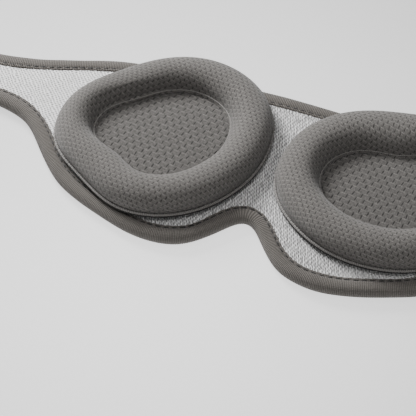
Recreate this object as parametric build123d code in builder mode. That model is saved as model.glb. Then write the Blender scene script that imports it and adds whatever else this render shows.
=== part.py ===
from build123d import *
import math
import os

# Contoured sleep mask with two loose padded eye cups and a two-piece elastic head strap.
# Millimetres. The mask lies on its outer face: X runs from temple to temple, Y towards the
# forehead, Z towards the face. The origin is below the middle of the mask, on the surface it lies on.

# --- driving dimensions: the band ---
HALF_LENGTH = 280.0         # middle of the mask to the end of an open strap
BODY_HEIGHT = 81.5          # cheek edge to forehead edge
BAND_MIDDLE_Y = -2.36       # Y of the band's middle line: a cup overhangs the forehead edge by twice this
WING_END = 140.0            # where the padded wing stops and the elastic comes out
STRAP_WIDTH = 23.0
STRAP_LOW_EDGE = 0.0        # the strap's lower edge, from the band's middle line
STRAP_TOP_EDGE = STRAP_LOW_EDGE + STRAP_WIDTH
EDGE_STEPS = 90             # spans along an edge when it is drawn in
BRIDGE_HALF = 3.0           # half width of the strip that bends over the nose

# --- driving dimensions: the layers, from the surface up ---
BINDING_THICK = 0.8
SHELL_THICK = 0.8
BLACKOUT_THICK = 0.4
CORE_THICK = 1.6
LINING_THICK = 1.0
BINDING_WIDTH = 6.0
STITCH_WIDTH = 0.7
STITCH_THICK = 0.4

SHELL_Z = BINDING_THICK
BLACKOUT_Z = SHELL_Z + SHELL_THICK
CORE_Z = BLACKOUT_Z + BLACKOUT_THICK
LINING_Z = CORE_Z + CORE_THICK
LINING_TOP = LINING_Z + LINING_THICK
BINDING_TOP = LINING_TOP + BINDING_THICK

# --- driving dimensions: the eye cups ---
CUP_CLEARANCE = 0.3         # air between a cup and the band that it slides over
PATCH_LENGTH = 44.0
PATCH_WIDTH = 34.0
BACKING_THICK = 0.8
FLANGE_THICK = 0.6
FLANGE_STITCH_INSET = 0.2
COVER_THICK = 0.8
FLANGE_WIDTH = 1.2          # how far the flange stands out from the ring
RING_HEIGHT = 9.1           # backing to crest
RING_ROUND = 6.4            # radius of the ring's outer shoulder
LIP_ROUND = 2.6             # radius of the ring's inner lip
RECESS_INSET = 17.0         # flange edge to the edge of the recess floor
RECESS_FLARE = 1.6          # how much wider the recess is at the lip than at the floor
PAD_THICK = 1.2             # layered fabric that makes the recess floor

PATCH_Z = LINING_TOP + CUP_CLEARANCE
BACKING_Z = BINDING_TOP + CUP_CLEARANCE
RING_Z = BACKING_Z + BACKING_THICK
RING_TOP = RING_Z + RING_HEIGHT

# Outline of one cup about its own centre: broad at the nose end (+X), narrower at the temple end.
CUP_OUTLINE = [
    (41.5, 0.0), (37.5, 21.5), (20.5, 35.5), (0.0, 37.0), (-18.0, 30.5), (-34.5, 20.0),
    (-41.5, 0.0), (-31.5, -18.0), (-19.0, -32.5), (0.0, -37.5), (18.5, -32.0), (33.0, -19.5),
]

# Where each cup sits at rest: centre from the middle of the band, and turn in degrees.
# The right cup is the left one mirrored.
CUP_PLACE = {
    "left": {"centre": (-41.3, 2.9), "turn": 21.8, "mirror": 1},
    "right": {"centre": (45.9, 8.5), "turn": 35.7, "mirror": -1},
}

# --- driving dimensions: the straps ---
TONGUE_LENGTH = 13.0        # elastic sewn inside the wing
STRAP_THICK = 1.6
STRAP_GAP = 1.5             # bending length between the wing's end and the moving strap
STRAP_DROP_LENGTH = 9.0     # where the strap comes down from the wing to the surface
TAB_LENGTH = 45.0
TAB_WIDTH = 19.0
TAB_THICK = 1.0
TAB_MARGIN = 2.0            # bare elastic past the hook tab
HEM_LENGTH = 9.0
BOX_STITCH_LENGTH = 10.0
THREAD_WIDTH = 0.8

SIDES = {"left": -1, "right": 1}
FAR = 400.0                 # half size of the blocks that cut the band into left, bridge and right


def write_node(part, name):
    """Labels a finished piece and writes it as its own STEP file."""
    part.label = name
    export_step(part, f"parts/{name}.step")


def band_plane(z):
    """Work plane over the middle of the band at height z."""
    return Plane(origin=(0, BAND_MIDDLE_Y, z))


# --- the band ---

def both_sides(points):
    """Points of a whole edge, left to right, from the points of its right half."""
    return [(-x, y) for x, y in reversed(points) if x > 0] + points


def band_edges():
    """The cheek edge with its nose notch, and the forehead edge, each run from left to right."""
    low = -BODY_HEIGHT / 2
    top = BODY_HEIGHT / 2
    cheek_points = [(0, -21.3), (8.5, -28.6), (19, -38.0), (31, low), (53, -36.2), (72.5, -27.0),
                    (85.5, -14.0), (96, -4.2), (107, -0.6), (120, STRAP_LOW_EDGE)]
    forehead_points = [(0, top), (40, 39.4), (67, 36.9), (91, 29.6), (106, 24.9), (122, STRAP_TOP_EDGE)]
    with BuildLine() as cheek:
        Spline(*both_sides(cheek_points))
    with BuildLine() as forehead:
        Spline(*both_sides(forehead_points))
    return cheek.edge(), forehead.edge()


CHEEK_EDGE, FOREHEAD_EDGE = band_edges()


def moved_edge(edge, distance):
    """Points along an edge, moved sideways to its left by distance."""
    points = []
    for step in range(EDGE_STEPS + 1):
        along = step / EDGE_STEPS
        tangent = edge % along
        points.append(edge @ along + Vector(-tangent.Y, tangent.X) * distance)
    return points


def band_face(inset, z):
    """The band's outline drawn in by inset, run on past the wing ends so that a cut there leaves them open."""
    run_out = WING_END + 2 * BINDING_WIDTH
    low = STRAP_LOW_EDGE + inset
    top = STRAP_TOP_EDGE - inset
    with BuildSketch(band_plane(z)) as face:
        with BuildLine():
            cheek = Spline(*moved_edge(CHEEK_EDGE, inset))
            forehead = Spline(*moved_edge(FOREHEAD_EDGE, -inset))
            Polyline(cheek @ 1, (run_out, low), (run_out, top), forehead @ 1)
            Polyline(cheek @ 0, (-run_out, low), (-run_out, top), forehead @ 0)
        make_face()
    return face.sketch


def band_plate(inset, z, thick):
    """A flat layer with the band's outline drawn in by inset."""
    with BuildPart() as plate:
        extrude(band_face(inset, z), amount=thick)
    return plate.part


def cut_span(part, start, end):
    """The stretch of a band layer between two X positions."""
    with BuildPart() as span:
        add(part)
        with Locations(((start + end) / 2, 0, 0)):
            Box(end - start, FAR, FAR, mode=Mode.INTERSECT)
    return span.part


def side_span(part, side, end):
    """The left or right half of a band layer, from the nose bridge out to end."""
    if side == "right":
        return cut_span(part, BRIDGE_HALF, end)
    return cut_span(part, -end, -BRIDGE_HALF)


def binding_ring():
    """Stretch binding folded over the edge: a channel that holds the band's layers."""
    with BuildPart() as ring:
        add(band_plate(0, 0, BINDING_TOP))
        add(band_plate(BINDING_WIDTH, 0, BINDING_TOP), mode=Mode.SUBTRACT)
        add(band_plate(BINDING_THICK, SHELL_Z, LINING_TOP - SHELL_Z), mode=Mode.SUBTRACT)
    return ring.part


def stitch_ring():
    """Thread line on the lining, along the binding's inner edge."""
    with BuildPart() as ring:
        add(band_plate(BINDING_WIDTH, LINING_TOP, STITCH_THICK))
        add(band_plate(BINDING_WIDTH + STITCH_WIDTH, LINING_TOP, STITCH_THICK), mode=Mode.SUBTRACT)
    return ring.part


def write_edge_pieces(ring, names):
    """Writes a cut ring's lower run and upper run as two nodes."""
    runs = ring.solids().sort_by(Axis.Y)
    for run, name in zip(runs, names):
        with BuildPart() as piece:
            add(run)
        write_node(piece.part, name)


def write_band():
    """The layers, binding and thread of each half and of the strip over the nose."""
    layers = {
        "outer_shell": (band_plate(BINDING_THICK, SHELL_Z, SHELL_THICK), WING_END),
        "blackout_layer": (band_plate(BINDING_THICK, BLACKOUT_Z, BLACKOUT_THICK), WING_END - TONGUE_LENGTH),
        "foam_core": (band_plate(BINDING_THICK, CORE_Z, CORE_THICK), WING_END - TONGUE_LENGTH),
        "mesh_lining": (band_plate(BINDING_THICK, LINING_Z, LINING_THICK), WING_END),
    }
    binding = binding_ring()
    thread = stitch_ring()
    for side in SIDES:
        for name, (plate, end) in layers.items():
            write_node(side_span(plate, side, end), f"{name}_{side}")
        write_edge_pieces(side_span(binding, side, WING_END),
                          [f"cheek_binding_{side}", f"forehead_binding_{side}"])
        write_node(side_span(thread, side, WING_END), f"binding_thread_{side}")
    for name, (plate, end) in layers.items():
        write_node(cut_span(plate, -BRIDGE_HALF, BRIDGE_HALF), f"{name}_bridge")
    write_edge_pieces(cut_span(binding, -BRIDGE_HALF, BRIDGE_HALF),
                      ["cheek_binding_bridge", "forehead_binding_bridge"])
    write_node(cut_span(thread, -BRIDGE_HALF, BRIDGE_HALF), "binding_thread_bridge")


# --- the eye cups ---

def cup_plane(side, z):
    """Work plane centred on a cup and turned with it."""
    turn = math.radians(CUP_PLACE[side]["turn"])
    centre_x, centre_y = CUP_PLACE[side]["centre"]
    middle = (centre_x, BAND_MIDDLE_Y + centre_y, z)
    return Plane(origin=middle, x_dir=(math.cos(turn), math.sin(turn), 0), z_dir=(0, 0, 1))


def cup_face(side, z, inset):
    """The cup's outline at height z, drawn in towards its centre by inset."""
    flip = CUP_PLACE[side]["mirror"]
    points = []
    for x, y in CUP_OUTLINE:
        shrink = 1 - inset / math.hypot(x, y)
        points.append((flip * x * shrink, y * shrink))
    with BuildSketch(cup_plane(side, z)) as face:
        with BuildLine():
            Spline(*points, periodic=True)
        make_face()
    return face.sketch


def cup_ring(side, skin):
    """Padded ring with a rounded outer shoulder and a sunk middle, drawn in by skin all over."""
    with BuildPart() as ring:
        extrude(cup_face(side, RING_Z, FLANGE_WIDTH + skin), amount=RING_HEIGHT - skin)
        shoulder = ring.faces().sort_by(Axis.Z)[-1].edges()
        fillet(shoulder, radius=RING_ROUND - skin)
        hollow = RECESS_INSET - skin
        floor = cup_face(side, RING_Z, hollow)
        mouth = cup_face(side, RING_TOP, hollow - RECESS_FLARE)
        loft([floor.faces()[0], mouth.faces()[0]], mode=Mode.SUBTRACT)
        lip = ring.faces().filter_by(Axis.Z).sort_by(Axis.Z)[-1].edges().sort_by(SortBy.LENGTH)[0]
        fillet(lip, radius=LIP_ROUND)
    return ring.part


def cup_cover(side, foam):
    """Knit skin over the foam ring, with its pressed flange round the base."""
    with BuildPart() as cover:
        add(cup_ring(side, 0))
        extrude(cup_face(side, RING_Z, 0), amount=FLANGE_THICK)
        add(foam, mode=Mode.SUBTRACT)
        extrude(cup_face(side, RING_Z, RECESS_INSET), amount=FLANGE_THICK, mode=Mode.SUBTRACT)
    return cover.part


def cup_plate(side, z, inset, thick):
    """A flat layer with the cup's outline."""
    with BuildPart() as plate:
        extrude(cup_face(side, z, inset), amount=thick)
    return plate.part


def hook_patch(side):
    """Oval hook patch that grips the mesh lining."""
    with BuildPart() as patch:
        with BuildSketch(cup_plane(side, PATCH_Z)):
            Ellipse(PATCH_LENGTH / 2, PATCH_WIDTH / 2)
        extrude(amount=BACKING_Z - PATCH_Z)
    return patch.part


def flange_thread(side):
    """Thread line sewn round the flange, on its outer edge."""
    with BuildPart() as thread:
        extrude(cup_face(side, RING_Z + FLANGE_THICK, FLANGE_STITCH_INSET), amount=STITCH_THICK)
        extrude(cup_face(side, RING_Z + FLANGE_THICK, FLANGE_WIDTH), amount=STITCH_THICK, mode=Mode.SUBTRACT)
    return thread.part


def write_cup(side):
    foam = cup_ring(side, COVER_THICK)
    write_node(foam, f"cup_foam_{side}")
    write_node(cup_cover(side, foam), f"cup_cover_{side}")
    write_node(cup_plate(side, RING_Z, RECESS_INSET, PAD_THICK), f"cup_floor_{side}")
    write_node(cup_plate(side, BACKING_Z, 0, BACKING_THICK), f"cup_backing_{side}")
    write_node(flange_thread(side), f"flange_thread_{side}")
    write_node(hook_patch(side), f"hook_patch_{side}")


# --- the straps ---

def strap_block(side, start, end, width, z, thick):
    """A flat stretch of the strap between two distances from the mask's middle."""
    middle = SIDES[side] * (start + end) / 2
    centre_y = STRAP_LOW_EDGE + STRAP_WIDTH / 2
    with BuildPart() as block:
        with BuildSketch(band_plane(z)):
            with Locations((middle, centre_y)):
                Rectangle(end - start, width)
        extrude(amount=thick)
    return block.part


def elastic_strap(side):
    """Elastic that leaves the wing's middle layer and comes down to lie flat on the surface."""
    sign = SIDES[side]
    start = WING_END + STRAP_GAP
    down = start + STRAP_DROP_LENGTH
    profile = [(start, CORE_Z), (down, 0), (HALF_LENGTH, 0), (HALF_LENGTH, STRAP_THICK),
               (down, STRAP_THICK), (start, CORE_Z + STRAP_THICK)]
    with BuildPart() as strap:
        with BuildSketch(Plane.XZ.offset(-BAND_MIDDLE_Y - STRAP_TOP_EDGE)):
            with BuildLine():
                Polyline(*[(sign * x, z) for x, z in profile], close=True)
            make_face()
        extrude(amount=STRAP_WIDTH)
    return strap.part


def strap_tongue(side):
    """End of the elastic, sewn between the shell and the lining."""
    inner_width = STRAP_WIDTH - 2 * BINDING_THICK
    return strap_block(side, WING_END - TONGUE_LENGTH, WING_END, inner_width, BLACKOUT_Z, LINING_Z - BLACKOUT_Z)


def box_stitch(side):
    """Rectangle of thread with one cross bar that holds the tongue."""
    end = WING_END - THREAD_WIDTH
    start = end - BOX_STITCH_LENGTH
    centre = SIDES[side] * (start + end) / 2
    inner_width = STRAP_WIDTH - 2 * BINDING_WIDTH - 2 * STITCH_WIDTH
    with BuildPart() as thread:
        with BuildSketch(band_plane(LINING_TOP)):
            with Locations((centre, STRAP_LOW_EDGE + STRAP_WIDTH / 2)):
                Rectangle(BOX_STITCH_LENGTH, inner_width)
                Rectangle(BOX_STITCH_LENGTH - 2 * THREAD_WIDTH, inner_width - 2 * THREAD_WIDTH, mode=Mode.SUBTRACT)
                Rectangle(THREAD_WIDTH, inner_width)
        extrude(amount=STITCH_THICK)
    return thread.part


def tab_block(width, length, thick):
    """A flat block centred on the hook tab."""
    middle = HALF_LENGTH - TAB_MARGIN - TAB_LENGTH / 2
    return strap_block("left", middle - length / 2, middle + length / 2, width, STRAP_THICK, thick)


def tab_thread():
    """Thread that sews the hook tab's edge down to the strap."""
    with BuildPart() as thread:
        add(tab_block(TAB_WIDTH + 2 * THREAD_WIDTH, TAB_LENGTH + 2 * THREAD_WIDTH, STITCH_THICK))
        add(tab_block(TAB_WIDTH, TAB_LENGTH, STITCH_THICK), mode=Mode.SUBTRACT)
    return thread.part


def write_straps():
    for side in SIDES:
        write_node(strap_tongue(side), f"strap_tongue_{side}")
        write_node(box_stitch(side), f"box_stitch_{side}")
        write_node(elastic_strap(side), f"elastic_strap_{side}")
    write_node(tab_block(TAB_WIDTH, TAB_LENGTH, TAB_THICK), "hook_tab")
    write_node(tab_thread(), "hook_tab_thread")
    hem = strap_block("right", HALF_LENGTH - HEM_LENGTH, HALF_LENGTH, STRAP_WIDTH, STRAP_THICK, STRAP_THICK)
    write_node(hem, "strap_hem")


os.makedirs("parts", exist_ok=True)
write_band()
for cup_side in SIDES:
    write_cup(cup_side)
write_straps()
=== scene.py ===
# Looks for a padded sleep eye mask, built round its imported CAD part. Metres, in the part's own frame.
import math

import bmesh
import bpy
import numpy as np
from mathutils import Matrix, Vector


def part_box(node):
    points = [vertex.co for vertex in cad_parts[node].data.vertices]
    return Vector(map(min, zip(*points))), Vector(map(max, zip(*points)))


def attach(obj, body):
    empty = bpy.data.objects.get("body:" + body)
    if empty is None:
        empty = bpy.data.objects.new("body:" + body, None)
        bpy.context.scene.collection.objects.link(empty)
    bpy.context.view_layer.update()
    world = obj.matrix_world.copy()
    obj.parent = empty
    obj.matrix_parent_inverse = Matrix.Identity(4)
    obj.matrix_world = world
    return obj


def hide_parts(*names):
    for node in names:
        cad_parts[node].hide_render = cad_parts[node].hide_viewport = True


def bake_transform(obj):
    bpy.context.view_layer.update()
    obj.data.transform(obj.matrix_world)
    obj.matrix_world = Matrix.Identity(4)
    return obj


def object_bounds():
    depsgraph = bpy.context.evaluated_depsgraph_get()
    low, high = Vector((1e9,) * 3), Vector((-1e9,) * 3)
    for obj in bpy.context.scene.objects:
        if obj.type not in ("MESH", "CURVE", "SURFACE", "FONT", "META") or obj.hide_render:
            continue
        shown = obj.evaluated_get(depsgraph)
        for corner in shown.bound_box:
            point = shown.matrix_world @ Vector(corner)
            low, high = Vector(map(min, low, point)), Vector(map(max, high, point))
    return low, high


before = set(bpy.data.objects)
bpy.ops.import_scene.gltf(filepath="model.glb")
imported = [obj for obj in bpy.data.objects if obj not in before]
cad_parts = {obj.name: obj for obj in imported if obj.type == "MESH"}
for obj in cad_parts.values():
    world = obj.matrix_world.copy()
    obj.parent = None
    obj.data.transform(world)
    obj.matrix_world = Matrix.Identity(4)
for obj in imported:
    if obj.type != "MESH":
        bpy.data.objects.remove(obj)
cad_low, cad_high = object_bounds()

MM = 0.001
SIDES = ("left", "right")
SIGN = {"left": -1, "right": 1}
FULL_TURN = 2 * math.pi
rng = np.random.default_rng(7)

# cloth patterns, in mm on the flat cloth
WAFFLE_CELL = (3.3, 2.3)       # one brick of the cup knit where it isn't stretched
TICK_LEAN = 0.07               # how far the dark tick leans in its brick
LINING_HOLE = (1.55, 0.74)     # spacing of the lining's dashes
LINING_SLIT = (1.7, 0.72)      # their spacing where the yarns are pulled upright, near the nose
LINING_RIB = 1.25              # spacing of the pulled ribs
NOSE_PULL_AND_SHADE_REACH = (70.0, 30.0)      # from the nose: where the pull and its painted shade begin, and where they are full
RIB_PITCH = 0.66               # between the binding's cross ribs
ELASTIC_PITCH = 1.15           # between the elastic's lengthwise ribs
WARM = 0.06                    # how much redder than grey the cup knit is

# stitches: length and pitch in mm, and thread radii in metres
BINDING_STITCH = (2.55, 3.05)
BOX_STITCH = (1.7, 2.1)
TAB_STITCH = (1.9, 2.4)
BINDING_THREAD = 0.00027
WING_THREAD = 0.00022
STRAP_THREAD = 0.0002
HOOK_WIRE = 0.00013

# the band
STITCH_INSET = 0.005
BINDING_RELIEF = 0.00012       # height of the binding's ribs
SHEET_INSET = 0.0048           # how far inside the edge the lining and the shell begin
LINING_STEP = 0.00062
SHELL_STEP = 0.0011
CORE_INSET = 0.0026
CORE_END = 0.013               # how far before the wing's end the inner layers stop
CORE_COLUMNS, CORE_ROWS = 180, 40

# the cups
ANGLES = 720                   # columns round a cup
COVER_ROWS = 104               # rows along the ring's section
CLOTH_ROWS = 34                # rows of the cloth that is blown up
CLOTH_STEP = 6                 # it has a column at every sixth angle
CLOTH_HELD = 8                 # rows held at the flange; the last row is held at the floor
CLOTH_SETTINGS = {
    "quality": 6, "mass": 0.25, "tension_stiffness": 12, "compression_stiffness": 12,
    "shear_stiffness": 6, "bending_stiffness": 0.6, "use_pressure": True,
    "uniform_pressure_force": 4.0, "vertex_group_mass": "held",
}
CLOTH_MOST = 0.0011            # the furthest that it may swell
CLOTH_FRAMES = 20
CLOTH_SCALE = 20.0             # the cloth is simulated this much larger than life
RECESS_INSET = 0.017           # from the cup's outline to its floor
FLOOR_ROWS = 64
BACKING_ROWS = 40
KNIT_RELIEF = 0.00004          # how far each brick of the knit swells
RING_SHRINK = 1.45             # the knit is pressed closer over the ring
RECESS_WALL = {"left": ((150, -0.0022),), "right": ((97, 0.0032),)}
RECESS_SLOPE = {"left": ((165, 0.0026),), "right": ()}
GRAIN_TURN = {"left": math.radians(6), "right": math.radians(3.6)}
RIM_CORD = (0.0005, 1.1)       # radius in metres, and length of one turn of its twist in mm
CREASE_CORD = (0.00013, 0.7)

# the straps
ELASTIC_THICK = 0.0016
TAB_THICK = 0.00055
TAB_CORNER = 0.0016
HOOK_SPACING = (0.0016, 0.0015)

# the stage
FLOOR_GLOW_CENTRE = (-0.03, -0.055, 0.0)
FLOOR_GLOW_REACH = 0.27
FLOOR_GLOW = (1.5, 0.5)        # strength in the middle, and at its reach
AIM = (-0.02, 0, 0)
LIGHTS = (                     # name, place, size, power
    ("key_softbox", (-0.40, 0.24, 0.33), 0.2, 7.8),
    ("front_fill", (0.12, -0.6, 0.4), 0.5, 1.0),
    ("top_softbox", (-0.1, 0.1, 1.0), 0.6, 5.2),
)
WORLD_STRENGTH = 0.135
CAMERA_ANGLES = (19.3, 52.0, 1.0)   # azimuth, elevation and roll, in degrees
CAMERA_AIM = (-0.01598, -0.02011, 0)
CAMERA_DISTANCE = 0.6
CAMERA_LENS = 140.9


# ------------------------------ meshes

def smoothstep(low, high, value):
    """0 at low, 1 at high, and smooth between; high may be the smaller one."""
    t = np.clip((value - low) / (high - low), 0, 1)
    return t * t * (3 - 2 * t)


def arc_length(points):
    """How far along a line of points each one is."""
    steps = np.linalg.norm(np.diff(points, axis=0), axis=1)
    return np.concatenate([[0], np.cumsum(steps)])


def even(points, count):
    """count points evenly spaced along a line of points."""
    along = arc_length(points)
    where = np.linspace(0, along[-1], count)
    return np.stack([np.interp(where, along, axis) for axis in points.T], 1)


def smooth_curve(points, count):
    """A smooth open curve through points, as count points evenly spaced along it."""
    p = np.array(points, float)
    p = np.vstack([2 * p[0] - p[1], p, 2 * p[-1] - p[-2]])
    t = np.linspace(0, 1, 16, endpoint=False)[:, None]
    found = []
    for a, b, c, d in zip(p, p[1:], p[2:], p[3:]):
        cubic = (3 * b - a - 3 * c + d) * t ** 3
        found.append(0.5 * (2 * b + (c - a) * t + (2 * a - 5 * b + 4 * c - d) * t * t + cubic))
    found.append(p[-2][None])
    return even(np.vstack(found), count)


def running_mean(values, reach, ring=False):
    """Each value becomes the mean of its neighbours within reach places."""
    pad = [(reach, reach)] + [(0, 0)] * (values.ndim - 1)
    wide = np.pad(values, pad, mode="wrap" if ring else "edge")
    return np.mean([wide[k:k + len(values)] for k in range(2 * reach + 1)], axis=0)


def grid_faces(rows, columns, ring=False):
    """Quads of a grid of points, joined up along its columns if ring."""
    r = np.arange(rows - 1)[:, None] * columns
    c = np.arange(columns if ring else columns - 1)[None, :]
    after = (c + 1) % columns
    corners = [r + c, r + after, r + columns + after, r + columns + c]
    return np.stack(corners, -1).reshape(-1, 4)


def end_caps(columns, rows):
    """The faces that close a tube of rows rings, each of so many columns."""
    return [list(range(columns)), [rows * columns - 1 - k for k in range(columns)]]


def add_object(name, data):
    """A new object in the scene."""
    made = bpy.data.objects.new(name, data)
    bpy.context.scene.collection.objects.link(made)
    return made


def add_mesh(name, points, faces, material, uv=None, caps=()):
    """A smooth mesh object from points in metres; uv gives each point's place on the flat cloth in mm."""
    mesh = bpy.data.meshes.new(name)
    polygons = [list(f) for f in np.asarray(faces).tolist()]
    polygons += [list(c) for c in caps]
    mesh.from_pydata(np.asarray(points, float).reshape(-1, 3).tolist(), [], polygons)
    mesh.update()
    if uv is not None:
        layer = mesh.uv_layers.new(name="FabricUV")
        corner = np.zeros(len(mesh.loops), np.int32)
        mesh.loops.foreach_get("vertex_index", corner)
        layer.data.foreach_set("uv", np.asarray(uv, np.float32).reshape(-1, 2)[corner].ravel())
    mesh.polygons.foreach_set("use_smooth", [True] * len(mesh.polygons))
    mesh.materials.append(material)
    return add_object(name, mesh)


def outward(piece):
    """Turns a closed piece's faces outward."""
    work = bmesh.new()
    work.from_mesh(piece.data)
    bmesh.ops.recalc_face_normals(work, faces=work.faces)
    work.to_mesh(piece.data)
    work.free()
    return piece


def add_tubes(name, lines, radius, material, sides=6):
    """Many short round threads, one along each line of points, pointed a little at both ends."""
    lines = np.asarray(lines, float)
    count, stations = lines.shape[:2]
    ahead = np.gradient(lines, axis=1)
    ahead /= np.linalg.norm(ahead, axis=2, keepdims=True)
    side = np.cross(ahead, [0, 0, 1.0])
    side /= np.maximum(np.linalg.norm(side, axis=2, keepdims=True), 1e-9)
    above = np.cross(side, ahead)
    swell = np.ones(stations)
    swell[[0, -1]] = 0.35
    swell[[1, -2]] = 0.85
    angle = np.arange(sides) * FULL_TURN / sides
    round_side = side[:, :, None] * np.cos(angle)[None, None, :, None]
    round_above = above[:, :, None] * np.sin(angle)[None, None, :, None]
    points = lines[:, :, None] + (round_side + round_above) * (radius * swell)[None, :, None, None]
    one = grid_faces(stations, sides, ring=True)
    size = stations * sides
    faces = (one[None] + np.arange(count)[:, None, None] * size).reshape(-1, 4)
    caps = []
    for k in range(count):
        caps.append([k * size + j for j in range(sides)])
        caps.append([(k + 1) * size - 1 - j for j in range(sides)])
    uv = np.zeros((count * size, 2))
    along = np.stack([arc_length(line) for line in lines]) / MM
    uv[:, 0] = np.repeat(along[:, :, None], sides, 2).ravel()
    uv[:, 1] = np.tile(angle, count * stations)
    return outward(add_mesh(name, points, faces, material, uv, caps))


def sweep(name, path, across, section, material, uv_across):
    """A closed section (across, up) swept along a path in the XZ plane, capped at both ends."""
    ahead = np.gradient(path, axis=0)
    ahead /= np.linalg.norm(ahead, axis=1, keepdims=True)
    above = np.stack([-ahead[:, 2], ahead[:, 1] * 0, ahead[:, 0]], 1)
    flip = np.sign(ahead[0, 0])
    points = path[:, None] + above[:, None] * flip * section[None, :, 1:2]
    points[:, :, 1] += across[:, None] * section[None, :, 0]
    rows, columns = points.shape[:2]
    uv = np.zeros((rows, columns, 2))
    uv[:, :, 0] = arc_length(path)[:, None] / MM
    uv[:, :, 1] = uv_across[None]
    caps = end_caps(columns, rows)
    faces = grid_faces(rows, columns, ring=True)
    return outward(add_mesh(name, points, faces, material, uv, caps))


# ------------------------------ materials

class Nodes:
    """Short calls for the nodes of one material; each gives the new node's output."""

    def __init__(self, name):
        self.material = bpy.data.materials.new(name)
        self.material.use_nodes = True
        self.tree = self.material.node_tree
        self.shader = self.tree.nodes["Principled BSDF"]

    def put(self, socket, value):
        if isinstance(value, bpy.types.NodeSocket):
            self.tree.links.new(value, socket)
        elif value is not None:
            socket.default_value = value

    def math(self, operation, a, b=None, c=None):
        node = self.tree.nodes.new("ShaderNodeMath")
        node.operation = operation
        for socket, value in zip(node.inputs, (a, b, c)):
            self.put(socket, value)
        return node.outputs[0]

    def times(self, a, b):
        return self.math("MULTIPLY", a, b)

    def line(self, a, b, c):
        """a times b, plus c."""
        return self.math("MULTIPLY_ADD", a, b, c)

    def range(self, value, low, high, to_low=0.0, to_high=1.0):
        """value from low..high to to_low..to_high, smooth and clamped."""
        node = self.tree.nodes.new("ShaderNodeMapRange")
        node.interpolation_type = "SMOOTHSTEP"
        for socket, given in zip(node.inputs, (value, low, high, to_low, to_high)):
            self.put(socket, given)
        return node.outputs[0]

    def mix(self, share, a, b):
        """Colour b over colour a."""
        node = self.tree.nodes.new("ShaderNodeMix")
        node.data_type = "RGBA"
        self.put(node.inputs[0], share)
        self.put(node.inputs[6], a)
        self.put(node.inputs[7], b)
        return node.outputs[2]

    def ripple(self, value, pitch):
        """A smooth wave from 0 to 1 and back in each pitch of value."""
        wave = self.math("COSINE", self.times(value, FULL_TURN / pitch))
        return self.line(wave, 0.5, 0.5)

    def place(self):
        """A point's own place in the object, in metres."""
        return self.tree.nodes.new("ShaderNodeTexCoord").outputs["Object"]

    def flat(self):
        """A point's place on the flat cloth, in mm, as two numbers."""
        node = self.tree.nodes.new("ShaderNodeUVMap")
        node.uv_map = "FabricUV"
        parts = self.tree.nodes.new("ShaderNodeSeparateXYZ")
        self.tree.links.new(node.outputs[0], parts.inputs[0])
        return parts.outputs[0], parts.outputs[1]

    def pair(self, u, v):
        node = self.tree.nodes.new("ShaderNodeCombineXYZ")
        self.put(node.inputs[0], u)
        self.put(node.inputs[1], v)
        return node.outputs[0]

    def noise(self, where, scale, detail=3.0, roughness=0.55):
        node = self.tree.nodes.new("ShaderNodeTexNoise")
        self.put(node.inputs["Vector"], where)
        node.inputs["Scale"].default_value = scale
        node.inputs["Detail"].default_value = detail
        node.inputs["Roughness"].default_value = roughness
        return node.outputs[0]

    def finish(self, colour, height, depth, rough=0.9, sheen=0.0, specular=0.3):
        """Colour, bump height (0 to 1, over depth metres) and the plain numbers of the cloth."""
        self.put(self.shader.inputs["Base Color"], colour)
        self.put(self.shader.inputs["Roughness"], rough)
        bump = self.tree.nodes.new("ShaderNodeBump")
        bump.inputs["Distance"].default_value = depth
        bump.inputs["Strength"].default_value = 1.0
        self.put(bump.inputs["Height"], height)
        self.tree.links.new(bump.outputs[0], self.shader.inputs["Normal"])
        self.shader.inputs["Specular IOR Level"].default_value = specular
        self.shader.inputs["Sheen Weight"].default_value = sheen
        self.shader.inputs["Sheen Roughness"].default_value = 0.5
        return self.material


def grey(value, warm=0.0):
    """A near-neutral colour, a little warm if warm is above 0."""
    return (value * (1 + warm), value, value * (1 - warm), 1.0)


def cell_parts(n, u, v, cell):
    """Where a point lies in its cell of staggered rows: two numbers from -0.5 to 0.5."""
    row_place = n.math("DIVIDE", v, cell[1])
    row = n.math("FLOOR", row_place)
    column = n.line(row, 0.5, n.math("DIVIDE", u, cell[0]))
    a = n.math("SUBTRACT", n.math("FRACT", column), 0.5)
    b = n.math("SUBTRACT", n.math("SUBTRACT", row_place, row), 0.5)
    return a, b


def spot(n, a, b, width, height):
    """1 inside an ellipse at a cell's middle, fading to 0 outside it."""
    across = n.math("POWER", n.math("DIVIDE", a, width), 2.0)
    square = n.math("DIVIDE", b, height)
    distance = n.line(square, square, across)
    return n.range(distance, 1.45, 0.1)


def waffle_swell(u, v):
    """How far the cup knit swells at a point of the flat cloth, 0 to 1: a pillow in each brick."""
    row = np.floor(v / WAFFLE_CELL[1])
    column = u / WAFFLE_CELL[0] + 0.5 * row
    b = v / WAFFLE_CELL[1] - row - 0.5
    a = column - np.floor(column) - 0.5 - TICK_LEAN * b
    return np.abs(np.sin(math.pi * a)) ** 0.7 * (1 - (2 * np.abs(b)) ** 3)


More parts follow.
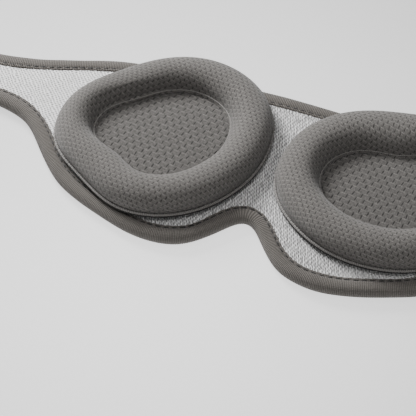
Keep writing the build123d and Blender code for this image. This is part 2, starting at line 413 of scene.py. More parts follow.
def waffle_knit(name, light, dark):
    """Dark knit of staggered bricks: a dark leaning tick in each, and a pale float running off it."""
    n = Nodes(name)
    u, v = n.flat()
    where = n.pair(u, v)
    wander = n.noise(where, 0.4, 2.0)
    u2 = n.line(wander, 0.8, u)
    v2 = n.line(wander, -0.4, v)
    a, b = cell_parts(n, u2, v2, WAFFLE_CELL)
    tick = spot(n, n.line(b, -TICK_LEAN, a), b, 0.088, 0.47)
    aside, above = WAFFLE_CELL[0] * 0.4, WAFFLE_CELL[1] * 0.42
    a2, b2 = cell_parts(n, n.math("SUBTRACT", u2, aside), n.math("SUBTRACT", v2, above), WAFFLE_CELL)
    float_yarn = spot(n, a2, n.line(a2, 0.1, b2), 0.37, 0.11)
    half = (WAFFLE_CELL[0] * 0.5, WAFFLE_CELL[1] * 0.5)
    a3, b3 = cell_parts(n, u2, v2, half)
    stitch = spot(n, n.line(b3, -TICK_LEAN, a3), b3, 0.13, 0.4)
    fibre = n.noise(where, 2.6, 5.0, 0.75)
    speck = n.noise(where, 0.9, 4.0, 0.8)
    patch = n.noise(where, 0.1, 2.0)
    plain = n.mix(n.range(fibre, 0.32, 0.68), grey(light * 0.55, WARM), grey(light * 1.05, WARM))
    spotted = n.mix(n.range(speck, 0.4, 0.62, 0.0, 0.75), plain, grey(light * 0.4, WARM))
    pricked = n.mix(n.times(stitch, 0.3), spotted, grey(dark, WARM))
    lifted = n.mix(n.times(float_yarn, 0.3), pricked, grey(light * 1.9, WARM))
    dipped = n.mix(n.times(tick, 0.92), lifted, grey(dark, WARM))
    varied = n.mix(n.range(patch, 0.35, 0.7, 0.0, 0.2), dipped, grey(light * 0.5, WARM))
    level = n.line(tick, -0.8, n.line(float_yarn, 0.4, 0.5))
    height = n.line(stitch, -0.3, n.line(fibre, 0.4, level))
    return n.finish(varied, height, 0.0002, 0.92, sheen=0.15, specular=0.2)


def mesh_knit():
    """Pale mesh lining: short dark dashes in staggered rows, and pulled ribs and slits near the nose;
    towards the nose its streaks and ribs are also painted darker, as painted shade of the cups' shadow
    between them.
    """
    n = Nodes("pale_mesh_knit")
    u, v = n.flat()
    where = n.pair(u, v)
    wander = n.noise(where, 0.2, 2.0)
    bent = n.line(wander, 1.2, v)
    leaning = n.line(wander, 1.4, n.line(v, -0.15, u))
    a, b = cell_parts(n, leaning, bent, LINING_HOLE)
    dash = spot(n, a, n.line(a, 0.25, b), 0.35, 0.3)
    nose_pull_and_shade = n.range(n.math("ABSOLUTE", u), NOSE_PULL_AND_SHADE_REACH[0], NOSE_PULL_AND_SHADE_REACH[1])
    upright = n.line(wander, 1.4, n.line(v, 0.38, u))
    a2, b2 = cell_parts(n, bent, upright, LINING_SLIT)
    slit = spot(n, a2, b2, 0.38, 0.3)
    hole = n.line(n.math("SUBTRACT", slit, dash), nose_pull_and_shade, dash)
    # The pulled ribs near the nose; their dark grooves are partly painted shade.
    ribbed = n.times(n.ripple(upright, LINING_RIB), nose_pull_and_shade)
    drawn = n.pair(n.times(upright, 1.9), n.times(bent, 0.4))
    pulled = n.noise(drawn, 1.0, 3.0, 0.6)
    fibre = n.noise(where, 4.2, 4.0, 0.7)
    yarn = n.mix(n.range(fibre, 0.3, 0.72), grey(0.55, 0.008), grey(0.97, 0.008))
    # Painted shade: the streaks grow stronger and darker towards the nose, standing for the cups' shadow
    # on the mesh, on top of the knit's own streaks.
    strength = n.line(nose_pull_and_shade, 0.45, 0.35)
    streak_and_shade = n.times(n.range(pulled, 0.42, 0.62), strength)
    streaked_and_shaded = n.mix(streak_and_shade, yarn, grey(0.2, 0.012))
    grooved_and_shaded = n.mix(n.times(ribbed, 0.45), streaked_and_shaded, grey(0.16, 0.012))
    colour = n.mix(n.times(hole, 0.9), grooved_and_shaded, grey(0.11, 0.012))
    height = n.line(hole, -0.6, n.line(pulled, -0.6, 0.9))
    height = n.line(ribbed, -0.5, n.line(fibre, 0.2, height))
    return n.finish(colour, height, 0.00028, 0.82, sheen=0.1, specular=0.35)


def ribbed_binding():
    """Dark stretch binding: fine cross ribs, each a column of small knit loops."""
    n = Nodes("ribbed_stretch_binding")
    u, v = n.flat()
    where = n.pair(u, v)
    rib = n.ripple(u, RIB_PITCH)
    a, b = cell_parts(n, u, v, (RIB_PITCH, 0.5))
    loop = spot(n, a, b, 0.42, 0.36)
    fibre = n.noise(where, 4.5, 4.0, 0.7)
    patch = n.noise(where, 0.16, 2.0)
    low = n.mix(n.range(fibre, 0.3, 0.7), grey(0.035, 0.1), grey(0.07, 0.1))
    high = n.mix(n.range(fibre, 0.3, 0.7), grey(0.1, 0.1), grey(0.17, 0.1))
    colour = n.mix(n.times(rib, n.line(loop, 0.35, 0.65)), low, high)
    worn = n.mix(n.range(patch, 0.4, 0.75, 0.0, 0.3), colour, grey(0.06, 0.1))
    height = n.line(rib, 0.6, n.times(loop, 0.25))
    height = n.line(fibre, 0.25, height)
    return n.finish(worn, height, 0.00016, 0.86, sheen=0.15, specular=0.3)


def twisted_thread(name, value):
    """Two-ply sewing thread, its plies as slanting bands."""
    n = Nodes(name)
    u, v = n.flat()
    turn = n.math("SINE", n.line(u, 9.0, v))
    ply = n.line(turn, 0.5, 0.5)
    fibre = n.noise(n.pair(u, v), 6.0, 3.0)
    colour = n.mix(ply, grey(value * 0.5, 0.05), grey(value * 1.3, 0.05))
    colour = n.mix(n.range(fibre, 0.4, 0.8, 0.0, 0.4), colour, grey(value * 1.8, 0.05))
    return n.finish(colour, ply, 0.00008, 0.6, sheen=0.1, specular=0.4)


def woven_elastic():
    """Dark elastic webbing: lengthwise ribs crossed by fine picks."""
    n = Nodes("woven_rib_elastic")
    u, v = n.flat()
    rib = n.ripple(v, ELASTIC_PITCH)
    a, b = cell_parts(n, v, u, (ELASTIC_PITCH, 0.62))
    pick = spot(n, a, b, 0.4, 0.34)
    fibre = n.noise(n.pair(u, v), 3.6, 4.0, 0.7)
    low = grey(0.045, 0.03)
    high = n.mix(n.range(fibre, 0.3, 0.7), grey(0.085, 0.03), grey(0.15, 0.03))
    colour = n.mix(n.times(pick, n.line(rib, 0.5, 0.5)), low, high)
    height = n.line(pick, 0.5, n.times(rib, 0.4))
    return n.finish(colour, height, 0.00018, 0.84, sheen=0.15, specular=0.3)


def soft_fabric(name, value, cell=0.5, rough=0.9, contrast=0.35):
    """Plain fine jersey or foam, with grain at the scale of its loops or cells, in mm."""
    n = Nodes(name)
    warm = 0.03
    where = n.place()
    fine = n.noise(where, 1000.0 / cell, 3.0, 0.65)
    broad = n.noise(where, 60.0, 2.0)
    dark, light = grey(value * (1 - contrast), warm), grey(value * (1 + contrast), warm)
    colour = n.mix(n.range(fine, 0.32, 0.68), dark, light)
    colour = n.mix(n.range(broad, 0.4, 0.7, 0.0, 0.25), colour, grey(value * 0.8, warm))
    return n.finish(colour, fine, 0.0002, rough, sheen=0.1, specular=0.25)


cup_knit = waffle_knit("cup_waffle_knit", 0.152, 0.02)
# The recess floor wears the cup knit drawn darker: painted shade for the sunk floor.
shaded_floor_knit = waffle_knit("cup_floor_knit_painted_shade", 0.107, 0.016)
lining_knit = mesh_knit()
binding_knit = ribbed_binding()
seam_thread = twisted_thread("seam_thread", 0.016)
rim_thread = twisted_thread("cup_rim_thread", 0.16)
crease_thread = twisted_thread("cup_crease_thread", 0.2)
elastic_weave = woven_elastic()
shell_jersey = soft_fabric("shell_jersey", 0.07)
backing_felt = soft_fabric("cup_backing_felt", 0.035, cell=0.35)
hook_nylon = soft_fabric("hook_nylon", 0.03, cell=0.8, rough=0.55)
foam_grain = soft_fabric("band_foam_grain", 0.2, cell=0.9, contrast=0.5)
blackout_coat = soft_fabric("blackout_coat", 0.012, cell=1.5, rough=0.6)


# ------------------------------ the band's edges, from the CAD walls

def wall_points(name, wanted):
    """Places (x, y) of a node's upright walls whose outward direction is wanted."""
    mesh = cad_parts[name].data
    found = {}
    for face in mesh.polygons:
        if abs(face.normal.z) < 0.2 and wanted(face.normal):
            for k in face.vertices:
                co = mesh.vertices[k].co
                found[(round(co.x, 6), round(co.y, 6))] = True
    return np.array(sorted(found))


def band_edge(kind, way):
    """One long edge of the band from its left wing to its right: points, inward directions and lengths."""
    walls = []
    for part in ("left", "bridge", "right"):
        walls.append(wall_points(f"{kind}_binding_{part}", lambda d: d.y * way > 0.2))
    points = np.vstack(walls)
    points = points[np.argsort(points[:, 0])]
    keep = np.concatenate([[True], np.diff(points[:, 0]) > 2e-5])
    points = points[keep]
    count = int(arc_length(points)[-1] / (RIB_PITCH * MM / 4))
    points = running_mean(even(points, count), 6)
    points[:, 0] = np.clip(points[:, 0], -WING, WING)
    ahead = running_mean(np.gradient(points, axis=0), 8)
    ahead /= np.linalg.norm(ahead, axis=1, keepdims=True)
    inward = np.stack([ahead[:, 1], -ahead[:, 0]], 1) * way
    return {"points": points, "inward": inward, "along": arc_length(points)}


def inset(edge, distance):
    """The edge moved inward, in metres."""
    return edge["points"] + edge["inward"] * distance


def line_height(line, x):
    """A moved edge's y at each x, and how far along it that is."""
    order = np.argsort(line[:, 0], kind="stable")
    y = np.interp(x, line[order, 0], line[order, 1])
    along = arc_length(line)
    return y, np.interp(x, line[order, 0], along[order])


bottom, top = (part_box("cheek_binding_left")[k].z for k in (0, 1))
WING = abs(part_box("cheek_binding_left")[0].x)
BAND_THICK = top - bottom
WING_MIDDLE = bottom + 0.52 * BAND_THICK      # height at which the strap leaves the wing
lining_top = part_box("mesh_lining_right")[1].z
cheek = band_edge("cheek", -1)
forehead = band_edge("forehead", 1)


def thinned(x, z):
    """Heights pressed together towards the strap near the wing ends."""
    share = 1 - 0.5 * smoothstep(WING - 0.018, WING - 0.001, np.abs(x))
    return WING_MIDDLE + (z - WING_MIDDLE) * share


def across_fold(piece, *nodes):
    """The piece's place is baked into its mesh, and it stands for these CAD nodes' three parts."""
    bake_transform(piece)
    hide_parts(*[f"{n}_{part}" for n in nodes for part in ("left", "bridge", "right")])
    return piece


# section of the folded binding: (inset in mm, height as a share of the band's thickness)
BINDING_SECTION = (
    (6.05, 0.855), (5.85, 0.93), (5.5, 0.955), (5.0, 0.885), (4.5, 0.955), (3.4, 0.995),
    (2.1, 0.985), (1.0, 0.91), (0.25, 0.73), (0.0, 0.5), (0.25, 0.27), (1.0, 0.09),
    (2.1, 0.015), (3.4, 0.005), (4.6, 0.045), (5.1, 0.095), (5.5, 0.055), (5.85, 0.075),
    (6.05, 0.145),
)


def add_binding(kind, edge):
    """A ribbed strip folded over the band's edge, with real ribs across it."""
    section = smooth_curve([(d * MM, h * BAND_THICK) for d, h in BINDING_SECTION], 40)
    ahead = np.gradient(section, axis=0)
    ahead /= np.linalg.norm(ahead, axis=1, keepdims=True)
    proud = np.stack([-ahead[:, 1], ahead[:, 0]], 1)
    proud *= -1 if proud[20, 0] > 0 else 1
    rib = 0.5 + 0.5 * np.cos(edge["along"] / MM * FULL_TURN / RIB_PITCH)
    slow = np.interp(edge["along"], np.linspace(0, edge["along"][-1], 60), rng.normal(0, 1, 60))
    slow = running_mean(slow, 30) * BINDING_RELIEF
    strength = np.interp(section[:, 0], [0, 0.0048, 0.0051, 0.0055, 0.006], [1, 1, 0.2, 0.9, 1.2])
    lift = rib[:, None] * BINDING_RELIEF * strength[None] + slow[:, None]
    wave = 0.00008 * np.sin(edge["along"] / MM * FULL_TURN / BINDING_STITCH[1])
    wavy = wave[:, None] * (section[:, 0] > 0.0055)[None]
    depth = section[None, :, 0] + lift * proud[None, :, 0] + wavy
    height = section[None, :, 1] + lift * proud[None, :, 1]
    points = np.zeros(depth.shape + (3,))
    points[:, :, :2] = edge["points"][:, None] + edge["inward"][:, None] * depth[:, :, None]
    points[:, :, 2] = np.maximum(bottom, thinned(points[:, :, 0], bottom + height))
    rows, columns = depth.shape
    uv = np.zeros((rows, columns, 2))
    uv[:, :, 0] = edge["along"][:, None] / MM
    uv[:, :, 1] = arc_length(section)[None] / MM
    caps = end_caps(columns, rows)
    faces = grid_faces(rows, columns)
    piece = add_mesh(f"{kind}_binding", points, faces, binding_knit, uv, caps)
    return across_fold(outward(piece), f"{kind}_binding")


def stitch_lines(path, heights, stitch, dip=0.0004):
    """Lines of single lockstitches along a path: each rises from the cloth and dips back into it."""
    length, pitch = stitch
    heights = np.broadcast_to(heights, len(path))
    along = arc_length(path)
    starts = np.arange(0.4 * MM, along[-1] - length * MM, pitch * MM)
    t = np.linspace(0, 1, 7)
    lines = []
    for start in starts:
        where = start + t * length * MM
        line = np.stack([np.interp(where, along, path[:, k]) for k in (0, 1)], 1)
        rise = np.interp(where, along, heights) - dip * np.abs(2 * t - 1) ** 3
        lines.append(np.column_stack([line, rise]))
    return lines


def add_seams():
    """The thread line along each binding, on the face and on the back."""
    lines = []
    for edge in (cheek, forehead):
        path = inset(edge, STITCH_INSET)
        face = thinned(path[:, 0], bottom + 0.935 * BAND_THICK)
        back = thinned(path[:, 0], bottom + 0.05 * BAND_THICK)
        lines += stitch_lines(path, face, BINDING_STITCH)
        lines += stitch_lines(path, np.maximum(back, bottom + 0.0002), BINDING_STITCH, dip=-0.0004)
    seams = add_tubes("binding_stitches", lines, BINDING_THREAD, seam_thread)
    across_fold(seams, "binding_thread")


def band_sheet(name, step, height, material, ends, flip=1):
    """A layer of the band between its two edges; height gives z from a place and its seam, and the
    wing ends lie at z ends. Its faces turn down if flip is -1."""
    x = np.linspace(-WING, WING, int(2 * WING / step))
    low, low_along = line_height(inset(cheek, SHEET_INSET), x)
    high, high_along = line_height(inset(forehead, SHEET_INSET), x)
    rows = int((high - low).max() / step)
    share = np.linspace(0, 1, rows)[:, None]
    y = low + (high - low) * share
    grid_x = np.repeat(x[None], rows, 0)
    near = np.minimum(y - low, high - y)
    along = np.where(share < 0.5, low_along[None], high_along[None])
    z = thinned(grid_x, height(grid_x, y, near, along))
    z[:, [0, -1]] = ends
    points = np.stack([grid_x, y, z], -1)
    uv = np.stack([grid_x, y], -1) / MM
    faces = grid_faces(rows, len(x))[:, ::flip]
    return add_mesh(name, points, faces, material, uv)


def lining_height(x, y, near, along):
    """The mesh lining swells from its seam and is pulled into small puckers beside it."""
    swell = 0.00022 * smoothstep(0.0, 0.009, near)
    pull = np.exp(-near / 0.0030) * smoothstep(0.0, 0.0009, near)
    wave = np.sin(along / MM * FULL_TURN / 1.7 + 1.3 * np.sin(along / MM * 0.37))
    drift = np.sin(x / MM * 0.31 + 0.8 * np.sin(y / MM * 0.23))
    loose = 0.00006 * drift * smoothstep(0.002, 0.01, near)
    return lining_top + swell + 0.00013 * pull * wave + loose


def shell_height(x, y, near, along):
    """The outer shell bellies out from its seam to the surface that the mask lies on."""
    belly = 0.00058 * smoothstep(0.0, 0.007, near)
    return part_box("outer_shell_right")[0].z - 0.0001 - belly


def add_core(name, material):
    """A plain inner layer of the band: a closed flat pad that stops short of the wing ends."""
    low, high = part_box(f"{name}_right")
    x = np.linspace(-WING + CORE_END, WING - CORE_END, CORE_COLUMNS)
    y0 = line_height(inset(cheek, CORE_INSET), x)[0]
    y1 = line_height(inset(forehead, CORE_INSET), x)[0]
    across = np.linspace(0, 1, CORE_ROWS)
    share = np.concatenate([across, across[::-1]])[:, None]
    around = len(share)
    y = y0 + (y1 - y0) * share
    z = np.where(np.arange(around)[:, None] < CORE_ROWS, high.z, low.z) + 0 * y
    points = np.stack([np.repeat(x[None], around, 0), y, z], -1).transpose(1, 0, 2)
    faces = grid_faces(CORE_COLUMNS, around, ring=True)
    caps = end_caps(around, CORE_COLUMNS)
    core = outward(add_mesh(name, points, faces, material, None, caps))
    across_fold(core, name)


def add_layers():
    """Lining, shell, foam core and blackout layer, from the face to the back."""
    lining = band_sheet("mesh_lining", LINING_STEP, lining_height, lining_knit, WING_MIDDLE + 0.0008)
    across_fold(lining, "mesh_lining")
    shell = band_sheet("outer_shell", SHELL_STEP, shell_height, shell_jersey, WING_MIDDLE - 0.0008, -1)
    across_fold(shell, "outer_shell")
    add_core("foam_core", foam_grain)
    add_core("blackout_layer", blackout_coat)


add_binding("cheek", cheek)
add_binding("forehead", forehead)
add_seams()
add_layers()


# ------------------------------ the cups

def directions(count):
    """count directions evenly round a cup, as angles."""
    return np.arange(count) * FULL_TURN / count


def ring_radius(name, centre):
    """A node's outline as its radius at even directions round centre."""
    walls = wall_points(name, lambda d: True) - centre
    angle = np.arctan2(walls[:, 1], walls[:, 0])
    radius = np.hypot(walls[:, 0], walls[:, 1])
    order = np.argsort(angle)
    found = np.interp(directions(ANGLES), angle[order], radius[order], period=FULL_TURN)
    return running_mean(running_mean(found, 14, ring=True), 14, ring=True)


# section of the padded ring: (inset in mm as in the CAD outline, height above the backing in mm)
COVER_SECTION = (
    (0.3, 0.0), (0.08, 0.22), (0.15, 0.46), (0.5, 0.6), (0.85, 0.7), (1.0, 0.95), (0.92, 1.5),
    (0.85, 2.4), (0.85, 3.4), (1.25, 4.9), (2.3, 6.6), (4.0, 8.1), (6.1, 8.92), (8.2, 9.12),
    (10.2, 8.9), (11.9, 8.3), (13.3, 7.35), (14.4, 6.0), (15.1, 4.6), (15.5, 3.3), (15.7, 2.3),
    (16.1, 1.6), (17.4, 1.25),
)


def ring_points(outer, inner, insets, heights, centre, base, wall=(), slope=()):
    """Points of a ring swept round the cup: rows follow the section, columns go round.
    wall lists where the foot of the recess wall stands further in: (direction in degrees, how far).
    slope lists where its middle lies further back, in the same way."""
    at = directions(len(outer))
    insets = np.asarray(insets)[:, None]
    share = insets / (RECESS_INSET / MM)
    radius = outer[None] + (inner - outer)[None] * share
    for direction, reach in wall:
        towards = np.clip(np.cos(at - math.radians(direction)), 0, 1) ** 1.5
        radius = radius - reach * towards[None] * smoothstep(9.5, 16.5, insets)
    for direction, reach in slope:
        towards = np.clip(np.cos(at - math.radians(direction)), 0, 1) ** 2
        middle = smoothstep(4.0, 12.5, insets) * smoothstep(17.0, 13.0, insets)
        radius = radius + reach * towards[None] * middle
    x = centre[0] + radius * np.cos(at)
    y = centre[1] + radius * np.sin(at)
    z = base + np.asarray(heights)[:, None] * MM + 0 * x
    return np.stack([x, y, z], -1)


def inflate(points, pinned):
    """Blows up a ring of cloth held at its pinned rows, and gives how far each point moved."""
    rows, columns = points.shape[:2]
    flat = points.reshape(-1, 3) * CLOTH_SCALE
    mesh = bpy.data.meshes.new("inflating")
    mesh.from_pydata(flat.tolist(), [], grid_faces(rows, columns, ring=True).tolist())
    cloth = add_object("inflating", mesh)
    group = cloth.vertex_groups.new(name="held")
    index = np.arange(rows * columns).reshape(rows, columns)
    group.add([int(k) for k in index[pinned].ravel()], 1.0, "REPLACE")
    modifier = cloth.modifiers.new("cloth", "CLOTH")
    for setting, value in CLOTH_SETTINGS.items():
        setattr(modifier.settings, setting, value)
    modifier.settings.effector_weights.gravity = 0
    modifier.collision_settings.use_collision = False
    modifier.point_cache.frame_start = 1
    modifier.point_cache.frame_end = CLOTH_FRAMES
    scene = bpy.context.scene
    for moment in range(1, CLOTH_FRAMES + 1):
        scene.frame_set(moment)
    graph = bpy.context.evaluated_depsgraph_get()
    after = cloth.evaluated_get(graph)
    moved = np.zeros(rows * columns * 3)
    after.data.vertices.foreach_get("co", moved)
    scene.frame_set(1)
    bpy.data.objects.remove(cloth)
    bpy.data.meshes.remove(mesh)
    move = (moved.reshape(-1, 3) - flat).reshape(rows, columns, 3) / CLOTH_SCALE
    far = np.linalg.norm(move, axis=2, keepdims=True)
    move = move * np.minimum(1, CLOTH_MOST / np.maximum(far, 1e-9))
    for _ in range(2):
        move = running_mean(move.transpose(1, 0, 2), 4, ring=True).transpose(1, 0, 2)
    return move


def spread_rows(values, rows):
    """A grid's rows resampled to more rows, smoothly."""
    old = np.linspace(0, 1, len(values))
    new = np.linspace(0, 1, rows)
    flat = values.reshape(len(values), -1)
    found = np.stack([np.interp(new, old, column) for column in flat.T], 1)
    found = running_mean(found, max(1, rows // len(values) // 2))
    return found.reshape((rows,) + values.shape[1:])


def spread_ring(values, columns):
    """A ring's columns resampled to more columns, smoothly."""
    turned = values.transpose(1, 0, 2)
    closed = np.concatenate([turned, turned[:1]])
    found = spread_rows(closed, columns + 1)[:-1]
    found = running_mean(found, max(1, columns // len(turned) // 2), ring=True)
    return found.transpose(1, 0, 2)


def flat_place(radius, side):
    """Places on the flat knit, in mm, of points round a cup at these flat radii (rows by columns)."""
    at = directions(radius.shape[1]) + GRAIN_TURN[side]
    return np.stack([radius * np.cos(at), radius * np.sin(at)], -1) / MM


def normals_of(points):
    """Unit normals of a ring's grid of points."""
    ahead = np.roll(points, -1, 1) - np.roll(points, 1, 1)
    up = np.gradient(points, axis=0)
    found = np.cross(ahead, up)
    return found / np.maximum(np.linalg.norm(found, axis=2, keepdims=True), 1e-12)


def ride(piece, body, side, slot, *nodes):
    """The piece rides on one side's body, and stands for these CAD nodes."""
    if nodes:
        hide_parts(*nodes)
    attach(piece, f"{body}_{side}")


def add_cup(side):
    """One loose padded cup: ring cover, sunk floor, backing, and the cords at its rim and crease."""
    low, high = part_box(f"hook_patch_{side}")
    centre = np.array([(low.x + high.x) / 2, (low.y + high.y) / 2])
    outer = ring_radius(f"cup_backing_{side}", centre)
    inner = ring_radius(f"cup_floor_{side}", centre)
    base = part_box(f"cup_backing_{side}")[1].z
    section = smooth_curve(COVER_SECTION, COVER_ROWS)
    points = ring_points(outer, inner, section[:, 0], section[:, 1], centre, base,
                         RECESS_WALL[side], RECESS_SLOPE[side])
    rough = smooth_curve(COVER_SECTION, CLOTH_ROWS)
    cloth = ring_points(outer[::CLOTH_STEP], inner[::CLOTH_STEP], rough[:, 0], rough[:, 1],
                        centre, base, RECESS_WALL[side], RECESS_SLOPE[side])
    move = inflate(cloth, np.r_[0:CLOTH_HELD, CLOTH_ROWS - 1])
    points = points + spread_ring(spread_rows(move, COVER_ROWS), ANGLES)
    crest = int(np.argmax(section[:, 1]))
    arc = arc_length(section) * MM
    crest_radius = np.hypot(points[crest, :, 0] - centre[0], points[crest, :, 1] - centre[1])
    flat_radius = crest_radius[None] - (arc - arc[crest])[:, None]
    uv = flat_place(flat_radius, side) * RING_SHRINK
    knit = waffle_swell(uv[..., 0], uv[..., 1]) - 0.5
    fade = smoothstep(0.9, 2.4, section[:, 1])[:, None] + 0 * knit
    normal = normals_of(points)
    normal *= np.sign(normal[crest, 0, 2])
    points = points + normal * (knit * fade)[..., None] * KNIT_RELIEF
    faces = grid_faces(COVER_ROWS, ANGLES, ring=True)
    cover = add_mesh(f"padded_ring_{side}", points, faces, cup_knit, uv)
    ride(cover, "cup", side, "waffle_knit", f"cup_cover_{side}", f"cup_foam_{side}")
    add_floor(side, centre, points[-8])
    add_backing(side, centre, outer, inner)
    add_cords(side, centre, outer, inner, base, points[-5])


def add_floor(side, centre, edge):
    """The sunk knit floor, from just under the ring's inner edge to its middle, crowned a little."""
    share = np.linspace(1.0, 0.02, FLOOR_ROWS)[:, None]
    x = centre[0] + (edge[:, 0] - centre[0])[None] * share
    y = centre[1] + (edge[:, 1] - centre[1])[None] * share
    floor_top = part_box(f"cup_floor_{side}")[1].z
    crown = 0.0005 * (1 - share ** 2) - 0.0003 * smoothstep(0.9, 1.0, share)
    radius = np.hypot(edge[:, 0] - centre[0], edge[:, 1] - centre[1])
    uv = flat_place(radius[None] * share, side)
    knit = waffle_swell(uv[..., 0], uv[..., 1])
    z = floor_top + crown + KNIT_RELIEF * (knit - 1)
    points = np.stack([x, y, z], -1)
    columns = points.shape[1]
    middle = [(FLOOR_ROWS - 1) * columns + k for k in range(columns)]
    faces = grid_faces(FLOOR_ROWS, columns, ring=True)
    # Its darker knit is painted shade in the recess.
    floor = add_mesh(f"recess_floor_{side}", points, faces, shaded_floor_knit, uv, [middle])
    ride(floor, "cup", side, "waffle_knit", f"cup_floor_{side}")


def add_backing(side, centre, outer, inner):
    """The cup's dark backing plate with a rounded rim."""
    low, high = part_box(f"cup_backing_{side}")
    thick = (high.z - low.z) / MM
    rim = [(9.0, thick), (1.2, thick), (0.45, thick * 0.93), (0.1, thick * 0.7), (0.08, thick * 0.35),
           (0.45, thick * 0.06), (1.2, 0.0), (9.0, 0.0)]
    section = smooth_curve(rim, BACKING_ROWS)
    points = ring_points(outer[::2], inner[::2], section[:, 0], section[:, 1], centre, low.z)
    columns = points.shape[1]
    faces = grid_faces(BACKING_ROWS, columns, ring=True)
    caps = end_caps(columns, BACKING_ROWS)
    backing = add_mesh(f"cup_base_{side}", points, faces, backing_felt, None, caps)
    ride(outward(backing), "cup", side, "backing_fabric", f"cup_backing_{side}")


def add_ring_cord(name, centre, ring, z, cord, material):
    """A twisted cord round a cup along a ring's radii."""
    radius, turn = cord
    count = 2 * len(ring)
    at = directions(count)
    ring = np.interp(at, directions(len(ring)), ring, period=FULL_TURN)
    away = np.stack([np.cos(at), np.sin(at)], 1)
    line = centre + away * ring[:, None]
    along = arc_length(line)
    turns = round(along[-1] / MM / turn)
    phase = along / along[-1] * FULL_TURN * turns
    sides = 8
    around = directions(sides)
    thick = radius * (1 + 0.2 * np.sin(phase[:, None] + around[None]))
    points = np.zeros((sides, count, 3))
    points[:, :, :2] = line + away * (thick * np.cos(around)).T[..., None]
    points[:, :, 2] = (z + thick * np.sin(around)).T
    uv = np.stack(np.broadcast_arrays(along[None] / MM, around[:, None]), -1)
    points = np.concatenate([points, points[:1]])
    uv = np.concatenate([uv, uv[:1]])
    faces = grid_faces(sides + 1, count, ring=True)
    return outward(add_mesh(name, points, faces, material, uv))


def add_cords(side, centre, outer, inner, base, floor_edge):
    """The corded rim of the flange, and the thin pale thread in the crease round the floor."""
    ring = outer + (inner - outer) * 0.5 * MM / RECESS_INSET
    rim = add_ring_cord(f"cup_rim_thread_{side}", centre, ring, base + 0.0006, RIM_CORD, rim_thread)
    ride(rim, "cup", side, "thread", f"flange_thread_{side}")
    ring = np.hypot(floor_edge[:, 0] - centre[0], floor_edge[:, 1] - centre[1])
    z = floor_edge[:, 2].max() + 0.00004
    crease = add_ring_cord(f"cup_crease_thread_{side}", centre, ring, z, CREASE_CORD, crease_thread)
    ride(crease, "cup", side, "thread")


for side in SIDES:
    add_cup(side)
    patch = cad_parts[f"hook_patch_{side}"]
    patch.data.materials.clear()
    patch.data.materials.append(hook_nylon)


# ------------------------------ the straps

def strap_section(width, thick):
    """Closed section of ribbed webbing: across and up, with its place across for the weave."""
    relief = 0.00005
    y = np.linspace(-width / 2, width / 2, 60)
    rib = relief * np.cos(y / MM * FULL_TURN / ELASTIC_PITCH)
    bulge = np.sqrt(np.clip(1 - (np.abs(y) / (width / 2)) ** 24, 0, 1))
    rise = (thick / 2 - relief + rib) * bulge
    upper = np.stack([y, rise], 1)
    lower = np.stack([y[::-1], -rise[::-1]], 1)
    section = np.vstack([upper, lower[1:-1]])
    return section, section[:, 0] / MM


def add_strap(side):
    """The elastic from inside the wing to its free end; the right one ends in a folded hem."""
    sign = SIGN[side]
    low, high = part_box(f"elastic_strap_{side}")
    end = max(abs(low.x), abs(high.x))
    thick = ELASTIC_THICK
    middle_y = (low.y + high.y) / 2
    path = [(WING - 0.012, WING_MIDDLE), (WING - 0.006, WING_MIDDLE), (WING + 0.001, WING_MIDDLE),
            (WING + 0.005, WING_MIDDLE - 0.0009), (WING + 0.0085, thick / 2 + 0.0003),
            (WING + 0.014, thick / 2)]
    path += [(x, thick / 2) for x in np.linspace(WING + 0.02, end - 0.004, 12)]
    if side == "right":
        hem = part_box("strap_hem")
        path += [(end - 0.0014, thick / 2), (end - 0.0007, thick), (end - 0.0014, thick * 1.5)]
        path += [(end - 0.004, thick * 1.5), (hem[0].x, thick * 1.5)]
    else:
        path += [(end, thick / 2)]
    line = smooth_curve(path, 330)
    points = np.column_stack([line[:, 0] * sign, np.full(len(line), middle_y), line[:, 1]])
    section, across_mm = strap_section(high.y - low.y, thick - 0.00005)
    narrow = 1 - 0.12 * smoothstep(WING + 0.0015, WING - 0.0015, line[:, 0])
    strap = sweep(f"head_strap_{side}", points, narrow, section, elastic_weave, across_mm)
    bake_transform(strap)
    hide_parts(f"elastic_strap_{side}", f"strap_tongue_{side}")
    if side == "right":
        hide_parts("strap_hem")


def box_path(x0, x1, y0, y1):
    """A rectangle's four sides, then its two diagonals."""
    corners = [(x0, y0), (x1, y0), (x1, y1), (x0, y1), (x0, y0)]
    runs = list(zip(corners, corners[1:]))
    return runs + [((x0, y0), (x1, y1)), ((x0, y1), (x1, y0))]


def add_box_stitch(side):
    """The crossed square of stitches that holds the elastic in the wing, on both faces."""
    low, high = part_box(f"box_stitch_{side}")
    lines = []
    for a, b in box_path(low.x, high.x, low.y, high.y):
        path = even(np.array([a, b]), 60)
        face = thinned(path[:, 0], lining_top + 0.00012)
        back = thinned(path[:, 0], bottom + 0.00085)
        lines += stitch_lines(path, face, BOX_STITCH)
        lines += stitch_lines(path, back, BOX_STITCH, dip=-0.0004)
    stitches = add_tubes(f"wing_stitches_{side}", lines, WING_THREAD, seam_thread)
    ride(stitches, "band", side, "thread", f"box_stitch_{side}")


def rounded_outline(low, high, corner):
    """A rectangle's outline with round corners, from low to high."""
    turn = np.linspace(0, math.pi / 2, 7)
    outline = []
    for k, (x, y) in enumerate(((high.x, high.y), (low.x, high.y), (low.x, low.y), (high.x, low.y))):
        sx = -1 if x == high.x else 1
        sy = -1 if y == high.y else 1
        for a in turn + k * math.pi / 2:
            outline.append((x + (sx + math.cos(a)) * corner, y + (sy + math.sin(a)) * corner))
    return np.array(outline)


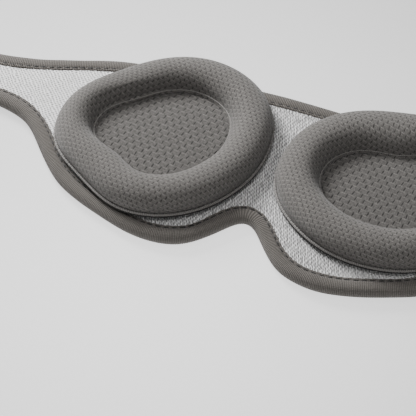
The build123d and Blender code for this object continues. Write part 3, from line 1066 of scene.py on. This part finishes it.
def add_hook_tab():
    """The hook tab: a rounded tape with rows of small hooks, sewn on the left strap's end."""
    low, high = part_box("hook_tab")
    tape = low.z + TAB_THICK
    outline = rounded_outline(low, high, TAB_CORNER)
    middle = outline.mean(0)
    rows = []
    profile = ((0.98, low.z - 0.0001), (1.0, low.z + 0.0001), (1.0, tape - 0.00012),
               (0.985, tape), (0.5, tape))
    for share, z in profile:
        rows.append(np.column_stack([middle + (outline - middle) * share, np.full(len(outline), z)]))
    faces = grid_faces(len(rows), len(outline), ring=True)
    caps = end_caps(len(outline), len(rows))
    tab = outward(add_mesh("hook_tape", np.vstack(rows), faces, hook_nylon, None, caps))
    ride(tab, "strap", "left", "hook_tape", "hook_tab")
    lines = []
    t = np.linspace(0, 1, 7)
    rise = tape - 0.0001 + 0.00055 * np.sin(t * 2.2)
    for x in np.arange(low.x + 0.0025, high.x - 0.0024, HOOK_SPACING[0]):
        for y in np.arange(low.y + 0.002, high.y - 0.0018, HOOK_SPACING[1]):
            lines.append(np.column_stack([x + 0.00035 * np.sin(t * 2.6), np.full(7, y), rise]))
    hooks = add_tubes("hook_tab_hooks", lines, HOOK_WIRE, hook_nylon, sides=5)
    ride(hooks, "strap", "left", "hook_tape")
    low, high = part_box("hook_tab_thread")
    edge = 0.0004
    lines = []
    for a, b in box_path(low.x + edge, high.x - edge, low.y + edge, high.y - edge)[:4]:
        lines += stitch_lines(even(np.array([a, b]), 60), low.z + 0.0002, TAB_STITCH)
    stitches = add_tubes("hook_tab_stitches", lines, STRAP_THREAD, seam_thread)
    ride(stitches, "strap", "left", "thread", "hook_tab_thread")


def add_hem_stitches():
    """The two stitch lines across the right strap's folded hem."""
    low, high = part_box("strap_hem")
    lines = []
    for x in (low.x + 0.0018, low.x + 0.0042):
        path = even(np.array([(x, low.y + 0.0012), (x, high.y - 0.0012)]), 60)
        lines += stitch_lines(path, high.z + 0.0001, BOX_STITCH)
    stitches = add_tubes("strap_hem_stitches", lines, STRAP_THREAD, seam_thread)
    ride(stitches, "strap", "right", "thread")


for side in SIDES:
    add_strap(side)
    add_box_stitch(side)
add_hook_tab()
add_hem_stitches()


# ------------------------------ floor, lights and camera

def pale_floor():
    """Pale studio floor that glows a little, most under the mask, so that its shadows stay faint."""
    n = Nodes("pale_floor")
    offset = n.tree.nodes.new("ShaderNodeVectorMath")
    offset.operation = "DISTANCE"
    n.put(offset.inputs[0], n.place())
    offset.inputs[1].default_value = FLOOR_GLOW_CENTRE
    far = offset.outputs["Value"]
    grain = n.noise(n.place(), 900.0, 2.0)
    glow = n.range(far, 0.0, FLOOR_GLOW_REACH, FLOOR_GLOW[0], FLOOR_GLOW[1])
    n.put(n.shader.inputs["Emission Color"], grey(1.0))
    n.put(n.shader.inputs["Emission Strength"], glow)
    colour = n.mix(n.range(grain, 0.3, 0.7), grey(0.2), grey(0.22))
    return n.finish(colour, grain, 0.00002, 0.8)


def add_floor_plane():
    mesh = bpy.data.meshes.new("studio_floor")
    work = bmesh.new()
    bmesh.ops.create_grid(work, x_segments=8, y_segments=8, size=4.0)
    work.to_mesh(mesh)
    work.free()
    mesh.materials.append(pale_floor())
    floor = add_object("studio_floor", mesh)
    floor.location.z = cad_low.z - 0.0002


def add_area(name, place, size, power):
    """A soft square light at place, facing the mask."""
    data = bpy.data.lights.new(name, "AREA")
    data.size = size
    data.energy = power
    lamp = add_object(name, data)
    lamp.location = place
    lamp.rotation_mode = "QUATERNION"
    lamp.rotation_quaternion = (Vector(AIM) - Vector(place)).to_track_quat("-Z", "Y")


def add_camera():
    """The photograph's view: over the cheek edge, from a little to the right."""
    azimuth, elevation, roll = (math.radians(a) for a in CAMERA_ANGLES)
    level = math.cos(elevation)
    back = Vector((math.sin(azimuth) * level, -math.cos(azimuth) * level, math.sin(elevation)))
    right = (-back).cross(Vector((0, 0, 1))).normalized()
    up = right.cross(-back)
    turned_right = right * math.cos(roll) + up * math.sin(roll)
    turned_up = up * math.cos(roll) - right * math.sin(roll)
    data = bpy.data.cameras.new("photo_camera")
    data.lens = CAMERA_LENS
    data.sensor_width = 36
    data.clip_start = 0.01
    camera = add_object("photo_camera", data)
    place = Vector(CAMERA_AIM) + back * CAMERA_DISTANCE
    axes = Matrix((turned_right, turned_up, back)).transposed().to_4x4()
    camera.matrix_world = Matrix.Translation(place) @ axes
    bpy.context.scene.camera = camera


def add_world():
    """Even white light from all sides."""
    world = bpy.data.worlds.new("studio")
    world.use_nodes = True
    world.node_tree.nodes["Background"].inputs[0].default_value = (1, 1, 1, 1)
    world.node_tree.nodes["Background"].inputs[1].default_value = WORLD_STRENGTH
    bpy.context.scene.world = world


add_floor_plane()
for light in LIGHTS:
    add_area(*light)
add_world()
add_camera()
